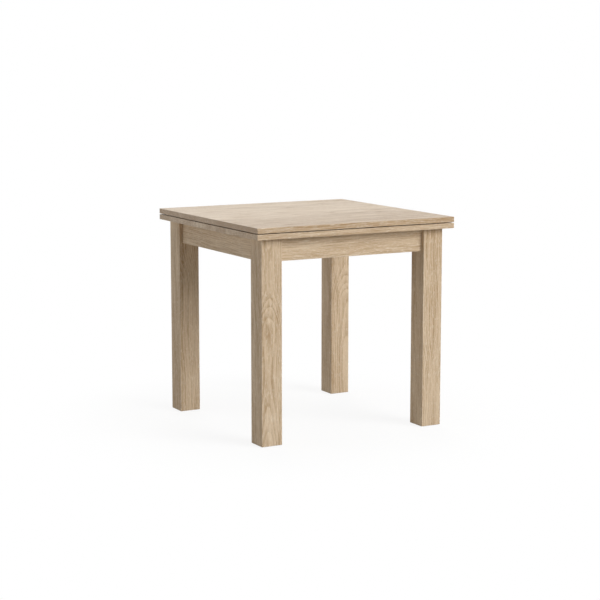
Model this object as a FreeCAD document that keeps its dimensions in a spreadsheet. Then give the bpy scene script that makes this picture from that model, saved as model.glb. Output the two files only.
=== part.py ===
import FreeCAD
import Part
import Sketcher
import os

# Swivel extending table: a square folded top on a four-legged frame. The two leaves turn together through a
# quarter circle on a stud set off the centre, then the upper leaf unfolds over three flush double-pin hinges.
# Millimetres, origin on the floor under the middle of the folded top, +Z up, -Y the front, hinges along +X.

SIZES = (
    ("top_length", 800, "folded top, across the hinge line"),
    ("top_width", 800, "folded top, along the hinge line"),
    ("overall_height", 770, "floor to the upper leaf's face"),
    ("leaf_thickness", 19, "each leaf"),
    ("leaf_gap", 3, "between the folded leaves"),
    ("seam_gap", 1.5, "between the leaves when unfolded"),
    ("leaf_edge_radius", 1, "eased edges of the leaves"),
    ("overhang", 30, "leaf edge past the legs"),
    ("leg_side", 80, "square leg"),
    ("leg_edge_radius", 2, "eased edges of the legs"),
    ("leg_flat", 18, "corner cut off each leg for the bolts, along one side"),
    ("apron_height", 80, "apron, top to bottom"),
    ("apron_thickness", 22, "apron board"),
    ("apron_setback", 14, "apron face behind the leg face"),
    ("apron_edge_radius", 1, "eased lower edges of the aprons"),
    ("foot_height", 2, "glide under each leg"),
    ("foot_radius", 12, "glide disc"),
    ("foot_bevel", 0.8, "glide rim"),
    ("nail_radius", 1.5, "glide nail"),
    ("nail_length", 16, "glide nail in the leg"),
    ("strip_length", 160, "felt strip on an apron"),
    ("strip_width", 14, "felt strip on an apron"),
    ("strip_thickness", 1.8, "felt strip on an apron"),
    ("strip_offset", 160, "felt strip's middle from the apron's middle"),
    ("strip_clearance", 0.2, "felt strip to the lower leaf"),
    ("block_thickness", 28, "corner block, across the diagonal"),
    ("block_height", 46, "corner block, top to bottom"),
    ("block_drop", 3, "corner block under the rails"),
    ("block_gap", 2, "corner block to the leg's flat"),
    ("bolt_radius", 4, "hanger bolt"),
    ("bolt_bite", 38, "hanger bolt in the leg"),
    ("bolt_tail", 13, "hanger bolt past the block"),
    ("bolt_bevel", 1, "hanger bolt ends"),
    ("bolt_spacing", 26, "between the two bolts of a leg"),
    ("bolt_slack", 0.5, "bolt hole in the block, on the radius"),
    ("washer_radius", 11, "hanger bolt washer"),
    ("washer_thickness", 1.6, "hanger bolt washer"),
    ("nut_across", 13, "hanger nut, across flats"),
    ("nut_height", 6.5, "hanger nut"),
    ("block_screw_radius", 2, "corner block screw"),
    ("block_screw_length", 25, "corner block screw under the head"),
    ("block_screw_head", 4, "corner block screw, radius of the head"),
    ("block_screw_rise", 2.6, "corner block screw, height of the head"),
    ("block_screw_spacing", 24, "between the screws of one block end"),
    ("seat_depth", 5.5, "counterbore on the screw's axis"),
    ("seat_slack", 0.6, "counterbore past the screw head"),
    ("rail_width", 120, "pivot rail and cross rail"),
    ("rail_thickness", 22, "pivot rail and cross rail"),
    ("tenon_length", 10, "rail end in the apron"),
    ("tenon_shoulder", 10, "rail width lost on each side of a tenon"),
    ("tenon_cheek", 5, "rail thickness lost on each face of a tenon"),
    ("plate_radius", 57, "swivel plate"),
    ("plate_thickness", 3, "swivel plate"),
    ("slot_radius", 44, "middle of the stop slot from the pivot"),
    ("swivel_travel", 90, "turn of the top, in degrees"),
    ("pin_radius", 4, "stop pin"),
    ("pin_seat", 16, "stop pin in the pivot rail"),
    ("pin_bevel", 0.8, "stop pin ends"),
    ("pin_headroom", 0.5, "stop pin to the lower leaf"),
    ("slot_slack", 0.3, "slot past the stop pin"),
    ("plate_screw_circle", 42, "swivel plate screws from the pivot"),
    ("plate_screw_radius", 2, "swivel plate screw"),
    ("plate_screw_head", 3.8, "swivel plate screw, radius of the head"),
    ("plate_screw_length", 14, "swivel plate screw"),
    ("disc_radius", 34, "thrust disc"),
    ("disc_thickness", 2, "thrust disc"),
    ("stud_radius", 6, "pivot stud"),
    ("spigot_radius", 5, "stud end fixed in the swivel plate"),
    ("stud_tail", 3, "stud past the lock nut"),
    ("stud_bevel", 1.2, "stud end"),
    ("bush_wall", 3, "pivot bush"),
    ("bush_flange_radius", 16, "pivot bush under the rail"),
    ("bush_flange", 2, "pivot bush flange thickness"),
    ("pivot_washer_radius", 18, "washer under the bush"),
    ("pivot_washer_thickness", 2.5, "washer under the bush"),
    ("spring_radius", 14, "disc spring"),
    ("spring_thickness", 1.2, "disc spring"),
    ("spring_rise", 0.8, "cone of the disc spring"),
    ("lock_nut_across", 19, "lock nut, across flats"),
    ("lock_nut_height", 10, "lock nut, hexagon"),
    ("lock_collar_height", 3, "lock nut, collar"),
    ("hinge_inset", 100, "outer hinges from the leaf's ends"),
    ("hinge_length", 38, "hinge plate, in from the edge"),
    ("hinge_width", 32, "hinge plate, along the edge"),
    ("hinge_thickness", 2.5, "hinge plate"),
    ("hinge_corner", 5, "hinge plate's round corners"),
    ("hinge_pin_depth", 2.5, "hinge pin under the leaf's face"),
    ("hinge_pin_radius", 1.25, "hinge pin"),
    ("hinge_pin_recess", 0.5, "hinge pin end inside the plate's side"),
    ("knuckle_drop", 0.1, "knuckle under the leaf's face"),
    ("knuckle_slack", 0.6, "leaf recess past the knuckle"),
    ("link_width", 9.4, "hinge link, along the edge"),
    ("link_slack", 0.3, "hinge plate's fork to the link, each side"),
    ("hinge_screw_radius", 1.75, "hinge screw"),
    ("hinge_screw_head", 3.5, "hinge screw, radius of the head"),
    ("hinge_screw_length", 14, "hinge screw"),
    ("hinge_screw_near", 13, "pair of hinge screws from the edge"),
    ("hinge_screw_far", 29, "single hinge screw from the edge"),
    ("hinge_screw_spread", 9, "pair of hinge screws from the plate's middle"),
    ("bumper_radius", 4, "clear bumper between the leaves"),
    ("bumper_bevel", 0.6, "clear bumper's rim"),
    ("bumper_inset", 40, "bumper from the leaf's edges"),
    ("bumper_clearance", 0.1, "bumper to the lower leaf"),
    ("run_clearance", 0.05, "turning fit, on the radius"),
    ("fit_clearance", 0.03, "fixed fit, on the radius"),
)

# Positions that follow from the sizes above.
PLACES = (
    ("lower_bottom", "=sizes.overall_height - 2 * sizes.leaf_thickness - sizes.leaf_gap"),
    ("lower_top", "=sizes.overall_height - sizes.leaf_thickness - sizes.leaf_gap"),
    ("upper_bottom", "=sizes.overall_height - sizes.leaf_thickness"),
    ("frame_top", "=lower_bottom - sizes.strip_clearance - sizes.strip_thickness"),
    ("apron_bottom", "=frame_top - sizes.apron_height"),
    ("leg_inner_x", "=sizes.top_length / 2 - sizes.overhang - sizes.leg_side"),
    ("leg_inner_y", "=sizes.top_width / 2 - sizes.overhang - sizes.leg_side"),
    ("apron_outer_x", "=sizes.top_length / 2 - sizes.overhang - sizes.apron_setback"),
    ("apron_outer_y", "=sizes.top_width / 2 - sizes.overhang - sizes.apron_setback"),
    ("apron_inner_y", "=apron_outer_y - sizes.apron_thickness"),
    ("apron_reach", "=sizes.leg_side - sizes.apron_setback - sizes.apron_thickness"),
    ("pivot", "=(sizes.top_length + sizes.seam_gap) / 4"),
    ("plate_bottom", "=lower_bottom - sizes.plate_thickness"),
    ("rail_top", "=plate_bottom - sizes.disc_thickness"),
    ("rail_bottom", "=rail_top - sizes.rail_thickness"),
    ("block_top", "=rail_bottom - sizes.block_drop"),
    ("block_bottom", "=block_top - sizes.block_height"),
    ("block_middle", "=block_top - sizes.block_height / 2"),
    ("leg_flat_depth", "=sizes.leg_flat / sqrt(2)"),
    ("block_outer", "=leg_flat_depth - sizes.block_gap"),
    ("block_inner", "=block_outer - sizes.block_thickness"),
    ("block_screw_line", "=(block_outer + block_inner) / sqrt(2) - apron_reach"),
    ("block_screw_seat", "=block_inner * sqrt(2) - block_screw_line + sizes.seat_depth"),
    ("bush_bottom", "=rail_bottom - sizes.bush_flange"),
    ("pivot_washer_top", "=bush_bottom - sizes.run_clearance"),
    ("spring_top", "=pivot_washer_top - sizes.pivot_washer_thickness"),
    ("lock_nut_top", "=spring_top - sizes.spring_thickness - sizes.spring_rise"),
    ("lock_nut_bottom", "=lock_nut_top - sizes.lock_nut_height - sizes.lock_collar_height"),
    ("stud_hole", "=sizes.stud_radius + sizes.run_clearance"),
    ("pin_top", "=lower_bottom - sizes.pin_headroom"),
    ("hinge_pitch", "=sizes.top_width / 2 - sizes.hinge_inset"),
    ("hinge_pin_inset", "=sizes.hinge_pin_depth + (sizes.leaf_gap - sizes.seam_gap) / 2"),
    ("hinge_link_length", "=2 * sizes.hinge_pin_depth + sizes.leaf_gap"),
    ("knuckle_radius", "=sizes.hinge_pin_depth - sizes.knuckle_drop"),
    ("knuckle_end", "=hinge_pin_inset + knuckle_radius + sizes.knuckle_slack"),
    ("knuckle_depth", "=sizes.hinge_pin_depth + knuckle_radius + sizes.knuckle_slack"),
    ("hinge_recess", "=sizes.hinge_width / 2 + sizes.fit_clearance"),
    ("hinge_recess_end", "=sizes.hinge_length + sizes.fit_clearance"),
    ("fork_half", "=sizes.link_width / 2 + sizes.link_slack"),
)

CORNERS = (
    ("back_right", 1, 1, 0),
    ("back_left", -1, 1, 90),
    ("front_left", -1, -1, 180),
    ("front_right", 1, -1, 270),
)
HINGES = (("front", -1), ("middle", 0), ("back", 1))
PLATE_SCREW_ANGLES = (135, 195, 255, 315)
UP = FreeCAD.Vector(0, 0, 1)
ACROSS = FreeCAD.Vector(1, 0, 0)
ALONG = FreeCAD.Vector(0, 1, 0)
DIAGONAL = 45
HALF_TURN = 180
NEAR = 1e-4

doc = FreeCAD.newDocument("swivel_table")
nodes = []


def fill_sheet(name, rows):
    sheet = doc.addObject("Spreadsheet::Sheet", name)
    for number, (alias, value, *_) in enumerate(rows, 1):
        sheet.set(f"A{number}", alias)
        sheet.set(f"B{number}", str(value))
        sheet.setAlias(f"B{number}", alias)
    doc.recompute()
    return sheet


sizes = fill_sheet("sizes", SIZES)
places = fill_sheet("places", PLACES)


def value_of(expression):
    return float(sizes.evalExpression(expression))


def new_body(label, is_node=True):
    body = doc.addObject("PartDesign::Body", label)
    body.Label = label
    if is_node:
        nodes.append(body)
    return body


def place(thing, x="0", y="0", z="0", axis=UP, angle=0):
    thing.Placement = FreeCAD.Placement(FreeCAD.Vector(), FreeCAD.Rotation(axis, angle))
    for letter, expression in (("x", x), ("y", y), ("z", z)):
        thing.setExpression(f"Placement.Base.{letter}", expression)


def new_sketch(body, role, lift="0", turn=0):
    # A sketch on one of the body's own planes, turned about its upright axis, then lifted along its normal.
    sketch = body.newObject("Sketcher::SketchObject", f"{body.Label}_sketch")
    plane = next(feature for feature in body.Origin.OriginFeatures if feature.Role == role)
    sketch.AttachmentSupport = [(plane, "")]
    sketch.MapMode = "FlatFace"
    sketch.AttachmentOffset = FreeCAD.Placement(FreeCAD.Vector(), FreeCAD.Rotation(ALONG, turn))
    sketch.setExpression("AttachmentOffset.Base.x", f"({lift}) * sin({turn})")
    sketch.setExpression("AttachmentOffset.Base.z", f"({lift}) * cos({turn})")
    return sketch


def bind(sketch, kind, expression, *ends):
    index = sketch.addConstraint(Sketcher.Constraint(kind, *ends, value_of(expression)))
    sketch.setExpression(f"Constraints[{index}]", expression)


def polygon(sketch, points):
    first = sketch.GeometryCount
    count = len(points)
    spots = [FreeCAD.Vector(value_of(x), value_of(y), 0) for x, y in points]
    for step in range(count):
        sketch.addGeometry(Part.LineSegment(spots[step], spots[(step + 1) % count]), False)
    for step in range(count):
        after = first + (step + 1) % count
        sketch.addConstraint(Sketcher.Constraint("Coincident", first + step, 2, after, 1))
    for step, (x, y) in enumerate(points):
        bind(sketch, "DistanceX", x, -1, 1, first + step, 1)
        bind(sketch, "DistanceY", y, -1, 1, first + step, 1)


def rectangle(sketch, left, bottom, right, top):
    polygon(sketch, ((left, bottom), (right, bottom), (right, top), (left, top)))


def circle(sketch, x, y, radius):
    index = sketch.GeometryCount
    middle = FreeCAD.Vector(value_of(x), value_of(y), 0)
    sketch.addGeometry(Part.Circle(middle, UP, value_of(radius)), False)
    bind(sketch, "Radius", radius, index)
    bind(sketch, "DistanceX", x, -1, 1, index, 3)
    bind(sketch, "DistanceY", y, -1, 1, index, 3)


def add_feature(body, kind, sketch, length, reverse=False, both_sides=False):
    feature = body.newObject(f"PartDesign::{kind}", f"{body.Label}_{kind}".lower())
    feature.Profile = sketch
    feature.setExpression("Length", length)
    feature.Reversed = reverse
    feature.Midplane = both_sides
    doc.recompute()
    return feature


def pad(body, sketch, length, both_sides=False):
    return add_feature(body, "Pad", sketch, length, False, both_sides)


def pocket(body, sketch, length, reverse=False, both_sides=False):
    return add_feature(body, "Pocket", sketch, length, reverse, both_sides)


def turn_profile(body, kind, sketch, angle="360"):
    feature = body.newObject(f"PartDesign::{kind}", f"{body.Label}_{kind}".lower())
    feature.Profile = sketch
    feature.ReferenceAxis = (sketch, ["V_Axis"])
    feature.setExpression("Angle", angle)
    doc.recompute()
    return feature


def turned(label, points, is_node=True):
    # A turned piece: a profile of (radius, height) points swept about its own upright axis.
    body = new_body(label, is_node)
    sketch = new_sketch(body, "XZ_Plane")
    polygon(sketch, points)
    turn_profile(body, "Revolution", sketch)
    return body


def ring(inner, outer, bottom, top):
    return ((inner, bottom), (outer, bottom), (outer, top), (inner, top))


def ease(body, feature, wanted, size, kind="Fillet"):
    edges = [f"Edge{n}" for n, edge in enumerate(feature.Shape.Edges, 1) if wanted(edge)]
    dressed = body.newObject(f"PartDesign::{kind}", f"{body.Label}_{kind}".lower())
    dressed.Base = (feature, edges)
    dressed.setExpression("Radius" if kind == "Fillet" else "Size", size)
    doc.recompute()
    return dressed


def is_upright(edge):
    box = edge.BoundBox
    return box.XLength < NEAR and box.YLength < NEAR


def lies_at_height(edge, height):
    box = edge.BoundBox
    return box.ZLength < NEAR and abs(box.ZMin - height) < NEAR


def is_rim(edge, radius, height):
    round_edge = isinstance(edge.Curve, Part.Circle) and abs(edge.Curve.Radius - radius) < NEAR
    return round_edge and lies_at_height(edge, height)


def group(label, master, spots):
    # Copies of one piece, each a solid of its own, kept together as one node.
    copies = []
    for x, y, z, axis, angle in spots:
        copy = doc.addObject("App::Link", f"{label}_copy")
        copy.LinkedObject = master
        place(copy, x, y, z, axis, angle)
        copies.append(copy)
    bundle = doc.addObject("Part::Compound", label)
    bundle.Label = label
    bundle.Links = copies
    nodes.append(bundle)


def bolt_heights():
    return [f"places.block_middle {sign} sizes.bolt_spacing / 2" for sign in "+-"]


def screw_heights():
    return [f"places.block_middle {sign} sizes.block_screw_spacing / 2" for sign in "+-"]


def make_leg(name, x_sign, y_sign, angle):
    # Square leg seen from its inner corner, which is cut flat behind the aprons to take the hanger bolts.
    body = new_body(f"leg_{name}")
    outline = new_sketch(body, "XY_Plane", "sizes.foot_height")
    rectangle(outline, "0", "0", "sizes.leg_side", "sizes.leg_side")
    post = pad(body, outline, "places.frame_top - sizes.foot_height")
    foot = value_of("sizes.foot_height")
    ease(body, post, lambda edge: is_upright(edge) or lies_at_height(edge, foot), "sizes.leg_edge_radius")
    corner = new_sketch(body, "XY_Plane", "places.frame_top")
    past = "sizes.leg_edge_radius"
    polygon(corner, (
        (f"-{past}", f"-{past}"),
        (f"sizes.leg_flat + {past}", f"-{past}"),
        (f"-{past}", f"sizes.leg_flat + {past}"),
    ))
    pocket(body, corner, "sizes.apron_height")
    bores = new_sketch(body, "YZ_Plane", "0", DIAGONAL)
    for height in bolt_heights():
        circle(bores, "0", height, "sizes.bolt_radius + sizes.fit_clearance")
    pocket(body, bores, "places.leg_flat_depth + sizes.bolt_bite + sizes.bolt_bevel", True)
    nail = new_sketch(body, "XY_Plane", "sizes.foot_height")
    circle(nail, "sizes.leg_side / 2", "sizes.leg_side / 2", "sizes.nail_radius + sizes.fit_clearance")
    pocket(body, nail, "sizes.nail_length + sizes.nail_radius", True)
    place(body, f"{x_sign} * places.leg_inner_x", f"{y_sign} * places.leg_inner_y", "0", UP, angle)


def make_apron(name, half_length, x, y, angle, has_mortises):
    # Board between two legs, outer face at local y = 0, with pilot holes for the corner block screws.
    body = new_body(f"apron_{name}")
    outline = new_sketch(body, "XY_Plane", "places.apron_bottom")
    rectangle(outline, f"-{half_length}", "0", half_length, "sizes.apron_thickness")
    board = pad(body, outline, "sizes.apron_height")
    bottom = value_of("places.apron_bottom")
    full = value_of(half_length)
    ease(
        body,
        board,
        lambda edge: lies_at_height(edge, bottom) and edge.Length > full,
        "sizes.apron_edge_radius",
    )
    bite = "places.block_screw_seat + sizes.block_screw_length + sizes.block_screw_radius - places.apron_reach"
    pilots = new_sketch(body, "XZ_Plane", f"{bite} - sizes.apron_thickness")
    for side in "+-":
        for height in screw_heights():
            across = f"{side}({half_length} + places.block_screw_line)"
            circle(pilots, across, height, "sizes.block_screw_radius + sizes.fit_clearance")
    pocket(body, pilots, bite)
    if has_mortises:
        depth = "sizes.tenon_length + sizes.fit_clearance"
        mortises = new_sketch(body, "XZ_Plane", f"{depth} - sizes.apron_thickness")
        half_width = "(sizes.rail_width / 2 - sizes.tenon_shoulder + sizes.fit_clearance)"
        for side in "+-":
            rectangle(
                mortises,
                f"{side}places.pivot - {half_width}",
                "places.rail_bottom + sizes.tenon_cheek - sizes.fit_clearance",
                f"{side}places.pivot + {half_width}",
                "places.rail_top - sizes.tenon_cheek + sizes.fit_clearance",
            )
        pocket(body, mortises, depth)
    place(body, x, y, "0", UP, angle)


def make_block(name, x_sign, y_sign, angle):
    # Diagonal block between two aprons; local x runs outwards along the diagonal from the leg's inner corner.
    body = new_body(f"corner_block_{name}")
    outline = new_sketch(body, "XY_Plane", "places.block_bottom")
    outer_half = "(places.apron_reach * sqrt(2) - places.block_outer)"
    inner_half = "(places.apron_reach * sqrt(2) - places.block_inner)"
    polygon(outline, (
        ("places.block_inner", f"-{inner_half}"),
        ("places.block_outer", f"-{outer_half}"),
        ("places.block_outer", outer_half),
        ("places.block_inner", inner_half),
    ))
    pad(body, outline, "sizes.block_height")
    bores = new_sketch(body, "YZ_Plane")
    for height in bolt_heights():
        circle(bores, "0", height, "sizes.bolt_radius + sizes.bolt_slack")
    pocket(body, bores, "4 * sizes.block_thickness", False, True)
    for turn, side in ((-DIAGONAL, ""), (DIAGONAL, "-")):
        shanks = new_sketch(body, "YZ_Plane", "0", turn)
        seats = new_sketch(body, "YZ_Plane", "places.block_screw_seat", turn)
        for height in screw_heights():
            across = f"{side}places.block_screw_line"
            circle(shanks, across, height, "sizes.block_screw_radius + sizes.run_clearance")
            circle(seats, across, height, "sizes.block_screw_head + sizes.seat_slack")
        pocket(body, shanks, "4 * places.apron_reach", False, True)
        pocket(body, seats, "places.block_screw_seat + sizes.block_thickness")
    place(
        body,
        f"{x_sign} * places.leg_inner_x",
        f"{y_sign} * places.leg_inner_y",
        "0",
        UP,
        angle + DIAGONAL,
    )


def make_rail(label, x):
    # Flat rail from front apron to back apron, with a stub tenon at each end.
    body = new_body(label)
    outline = new_sketch(body, "XY_Plane", "places.rail_bottom")
    half = "sizes.rail_width / 2"
    rectangle(outline, f"-{half}", "-places.apron_inner_y", half, "places.apron_inner_y")
    pad(body, outline, "sizes.rail_thickness")
    tenons = new_sketch(body, "XY_Plane", "places.rail_bottom + sizes.tenon_cheek")
    narrow = f"({half} - sizes.tenon_shoulder)"
    reach = "(places.apron_inner_y + sizes.tenon_length)"
    rectangle(tenons, f"-{narrow}", f"-{reach}", narrow, reach)
    pad(body, tenons, "sizes.rail_thickness - 2 * sizes.tenon_cheek")
    place(body, x)
    return body


def bore_pivot_rail(body):
    bores = new_sketch(body, "XY_Plane", "places.rail_top")
    circle(bores, "0", "-places.pivot", "places.stud_hole + sizes.bush_wall + sizes.fit_clearance")
    pocket(body, bores, "sizes.rail_thickness")
    seat = new_sketch(body, "XY_Plane", "places.rail_top")
    circle(seat, "0", "sizes.slot_radius - places.pivot", "sizes.pin_radius + sizes.fit_clearance")
    pocket(body, seat, "sizes.pin_seat")


def make_swivel_plate():
    # Steel disc under the lower leaf. Its slot runs a quarter circle round the stud and stops on the fixed pin.
    body = new_body("swivel_plate")
    outline = new_sketch(body, "XY_Plane")
    circle(outline, "0", "0", "sizes.plate_radius")
    circle(outline, "0", "0", "sizes.spigot_radius + sizes.fit_clearance")
    pad(body, outline, "sizes.plate_thickness")
    slot_half = "(sizes.pin_radius + sizes.slot_slack)"
    section = new_sketch(body, "XZ_Plane")
    rectangle(
        section,
        f"sizes.slot_radius - {slot_half}",
        "-sizes.plate_thickness",
        f"sizes.slot_radius + {slot_half}",
        "2 * sizes.plate_thickness",
    )
    turn_profile(body, "Groove", section, "sizes.swivel_travel")
    ends = new_sketch(body, "XY_Plane", "sizes.plate_thickness")
    circle(ends, "sizes.slot_radius", "0", slot_half)
    circle(
        ends,
        "sizes.slot_radius * cos(sizes.swivel_travel)",
        "sizes.slot_radius * sin(sizes.swivel_travel)",
        slot_half,
    )
    pocket(body, ends, "sizes.plate_thickness")
    holes = new_sketch(body, "XY_Plane", "sizes.plate_thickness")
    hole_radius = "sizes.plate_screw_radius + sizes.run_clearance"
    for angle in PLATE_SCREW_ANGLES:
        x = f"sizes.plate_screw_circle * cos({angle})"
        y = f"sizes.plate_screw_circle * sin({angle})"
        circle(holes, x, y, hole_radius)
    drilled = pocket(body, holes, "sizes.plate_thickness")
    rim = value_of(hole_radius)
    ease(
        body,
        drilled,
        lambda edge: is_rim(edge, rim, 0),
        "sizes.plate_screw_head - sizes.plate_screw_radius",
        "Chamfer",
    )
    place(body, "places.pivot", "-places.pivot", "places.plate_bottom")


def make_nut(label, across, height, bore, collar_height=None, is_node=True):
    # Hexagon nut hanging from local z = 0, corners bevelled by a turned cut; a lock nut carries a round collar.
    body = new_body(label, is_node)
    outline = new_sketch(body, "XY_Plane", f"-{height}")
    corner = f"({across} / sqrt(3))"
    polygon(outline, [(f"{corner} * cos({turn})", f"{corner} * sin({turn})") for turn in range(0, 360, 60)])
    pad(body, outline, height)
    bevel = new_sketch(body, "XZ_Plane")
    slope = f"({corner} - {across} / 2) / sqrt(3)"
    for edge, step in (("0", "-"), (f"-{height}", "+")):
        polygon(bevel, (
            (f"{across} / 2", edge),
            (f"{corner} * 2 - {across} / 2", edge),
            (f"{corner} * 2 - {across} / 2", f"{edge} {step} 2 * {slope}"),
        ))
    turn_profile(body, "Groove", bevel)
    depth = height
    if collar_height:
        collar = new_sketch(body, "XY_Plane", f"-{height} - {collar_height}")
        circle(collar, "0", "0", f"{across} * 0.45")
        pad(body, collar, collar_height)
        depth = f"{height} + {collar_height}"
    hole = new_sketch(body, "XY_Plane")
    circle(hole, "0", "0", bore)
    pocket(body, hole, depth)
    return body


def countersunk_screw(label, shank, head, length):
    # Screw with its flat head at local z = 0 and its point downwards.
    return turned(label, (
        ("0", "0"),
        (head, "0"),
        (shank, f"{shank} - {head}"),
        (shank, f"{shank} - {length}"),
        ("0", f"-{length}"),
    ), False)


def hinge_screw_spots():
    return (
        ("-sizes.hinge_screw_near", "sizes.hinge_screw_spread"),
        ("-sizes.hinge_screw_near", "-sizes.hinge_screw_spread"),
        ("-sizes.hinge_screw_far", "0"),
    )


def make_leaf(label, height, axis_angle, has_swivel):
    # Leaf with its inner face at local z = 0 and its hinge edge at +x, recessed for three hinge plates.
    body = new_body(label)
    outline = new_sketch(body, "XY_Plane", "-sizes.leaf_thickness")
    edge_x = "sizes.top_length / 2"
    edge_y = "sizes.top_width / 2"
    rectangle(outline, f"-{edge_x}", f"-{edge_y}", edge_x, edge_y)
    board = pad(body, outline, "sizes.leaf_thickness")
    ease(body, board, lambda edge: True, "sizes.leaf_edge_radius")
    seats = new_sketch(body, "XY_Plane")
    knuckles = new_sketch(body, "XY_Plane")
    pilots = new_sketch(body, "XY_Plane")
    for _, side in HINGES:
        middle = f"{side} * places.hinge_pitch"
        bounds = (f"{middle} - places.hinge_recess", f"{middle} + places.hinge_recess")
        past = f"{edge_x} + sizes.leaf_edge_radius"
        rectangle(seats, f"{edge_x} - places.hinge_recess_end", bounds[0], past, bounds[1])
        rectangle(knuckles, f"{edge_x} - places.knuckle_end", bounds[0], past, bounds[1])
        for x, y in hinge_screw_spots():
            hole_radius = "sizes.hinge_screw_radius + sizes.fit_clearance"
            circle(pilots, f"{edge_x} + {x}", f"{middle} + {y}", hole_radius)
    recessed = pocket(body, seats, "sizes.hinge_thickness")
    recess_x = value_of(f"{edge_x} - places.hinge_recess_end")
    ease(
        body,
        recessed,
        lambda edge: is_upright(edge) and abs(edge.BoundBox.XMin - recess_x) < NEAR,
        "sizes.hinge_corner",
    )
    pocket(body, knuckles, "places.knuckle_depth")
    pocket(body, pilots, "sizes.hinge_screw_length + sizes.fit_clearance")
    if has_swivel:
        screws = new_sketch(body, "XY_Plane", "-sizes.leaf_thickness")
        for angle in PLATE_SCREW_ANGLES:
            x = f"places.pivot + sizes.plate_screw_circle * cos({angle})"
            y = f"sizes.plate_screw_circle * sin({angle}) - places.pivot"
            circle(screws, x, y, "sizes.plate_screw_radius + sizes.fit_clearance")
        pocket(body, screws, "sizes.plate_screw_length - sizes.plate_thickness + sizes.fit_clearance", True)
    place(body, "0", "0", height, ACROSS, axis_angle)


def make_hinge_plate(label, side, height, axis_angle):
    # Flush plate: leaf face at local z = 0, leaf edge at local x = 0, forked round knuckle at the edge.
    body = new_body(label)
    half = "sizes.hinge_width / 2"
    outline = new_sketch(body, "XY_Plane", "-sizes.hinge_thickness")
    rectangle(outline, "-sizes.hinge_length", f"-{half}", "-places.hinge_pin_inset", half)
    plate = pad(body, outline, "sizes.hinge_thickness")
    inner_x = -value_of("sizes.hinge_length")
    ease(
        body,
        plate,
        lambda edge: is_upright(edge) and abs(edge.BoundBox.XMin - inner_x) < NEAR,
        "sizes.hinge_corner",
    )
    knuckle = new_sketch(body, "XZ_Plane")
    circle(knuckle, "-places.hinge_pin_inset", "-sizes.hinge_pin_depth", "places.knuckle_radius")
    pad(body, knuckle, "sizes.hinge_width", True)
    fork = new_sketch(body, "XY_Plane")
    rectangle(
        fork,
        "-places.knuckle_end",
        "-places.fork_half",
        "0",
        "places.fork_half",
    )
    pocket(body, fork, "places.knuckle_depth")
    bore = new_sketch(body, "XZ_Plane")
    pin_hole = "sizes.hinge_pin_radius + sizes.fit_clearance"
    circle(bore, "-places.hinge_pin_inset", "-sizes.hinge_pin_depth", pin_hole)
    pocket(body, bore, "sizes.hinge_width", False, True)
    holes = new_sketch(body, "XY_Plane")
    hole_radius = "sizes.hinge_screw_radius + sizes.run_clearance"
    for x, y in hinge_screw_spots():
        circle(holes, x, y, hole_radius)
    drilled = pocket(body, holes, "sizes.hinge_thickness")
    rim = value_of(hole_radius)
    ease(
        body,
        drilled,
        lambda edge: is_rim(edge, rim, 0),
        "sizes.hinge_screw_head - sizes.hinge_screw_radius",
        "Chamfer",
    )
    place(body, "sizes.top_length / 2", f"{side} * places.hinge_pitch", height, ACROSS, axis_angle)


def make_link(label, side):
    # Link between the two pins of one hinge, with round ends; local z = 0 on the lower pin.
    body = new_body(label)
    web = new_sketch(body, "XZ_Plane")
    rectangle(web, "-places.knuckle_radius", "0", "places.knuckle_radius", "places.hinge_link_length")
    pad(body, web, "sizes.link_width", True)
    for height in ("0", "places.hinge_link_length"):
        eye = new_sketch(body, "XZ_Plane")
        circle(eye, "0", height, "places.knuckle_radius")
        pad(body, eye, "sizes.link_width", True)
    bores = new_sketch(body, "XZ_Plane")
    for height in ("0", "places.hinge_link_length"):
        circle(bores, "0", height, "sizes.hinge_pin_radius + sizes.run_clearance")
    pocket(body, bores, "sizes.link_width", False, True)
    place(
        body,
        "sizes.top_length / 2 - places.hinge_pin_inset",
        f"{side} * places.hinge_pitch",
        "places.lower_top - sizes.hinge_pin_depth",
    )


def make_hinge_hardware(level, height, axis_angle, pin, screw):
    up_or_down = 1 if axis_angle else -1
    pin_x = "sizes.top_length / 2 - places.hinge_pin_inset"
    pin_z = f"{height} + {up_or_down} * sizes.hinge_pin_depth"
    group(f"{level}_hinge_pins", pin, [
        (pin_x, f"{side} * places.hinge_pitch", pin_z, ACROSS, 90) for _, side in HINGES
    ])
    group(f"{level}_hinge_screws", screw, [
        (f"sizes.top_length / 2 + {x}", f"{side} * places.hinge_pitch + {y}", height, ACROSS, axis_angle)
        for _, side in HINGES
        for x, y in hinge_screw_spots()
    ])


def write_nodes():
    doc.recompute()
    for thing in doc.Objects:
        if {"Invalid", "Error"} & set(thing.State):
            raise RuntimeError(f"{thing.Label}: {thing.getStatusString()}")
    os.makedirs("parts", exist_ok=True)
    for node in nodes:
        if node.Shape.isNull() or not node.Shape.isValid():
            raise RuntimeError(f"{node.Label}: bad shape")
        node.Shape.exportStep(f"parts/{node.Label}.step")
        print(node.Label, len(node.Shape.Solids), round(node.Shape.Volume))


# Frame.
for corner in CORNERS:
    make_leg(*corner)
for corner in CORNERS:
    make_block(*corner)
for name, x, y, angle in (
    ("front", "0", "-places.apron_outer_y", 0),
    ("back", "0", "places.apron_outer_y", HALF_TURN),
):
    make_apron(name, "places.leg_inner_x", x, y, angle, True)
for name, x, y, angle in (
    ("right", "places.apron_outer_x", "0", 90),
    ("left", "-places.apron_outer_x", "0", 270),
):
    make_apron(name, "places.leg_inner_y", x, y, angle, False)
bore_pivot_rail(make_rail("pivot_rail", "places.pivot"))
make_rail("cross_rail", "-places.pivot")

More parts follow.
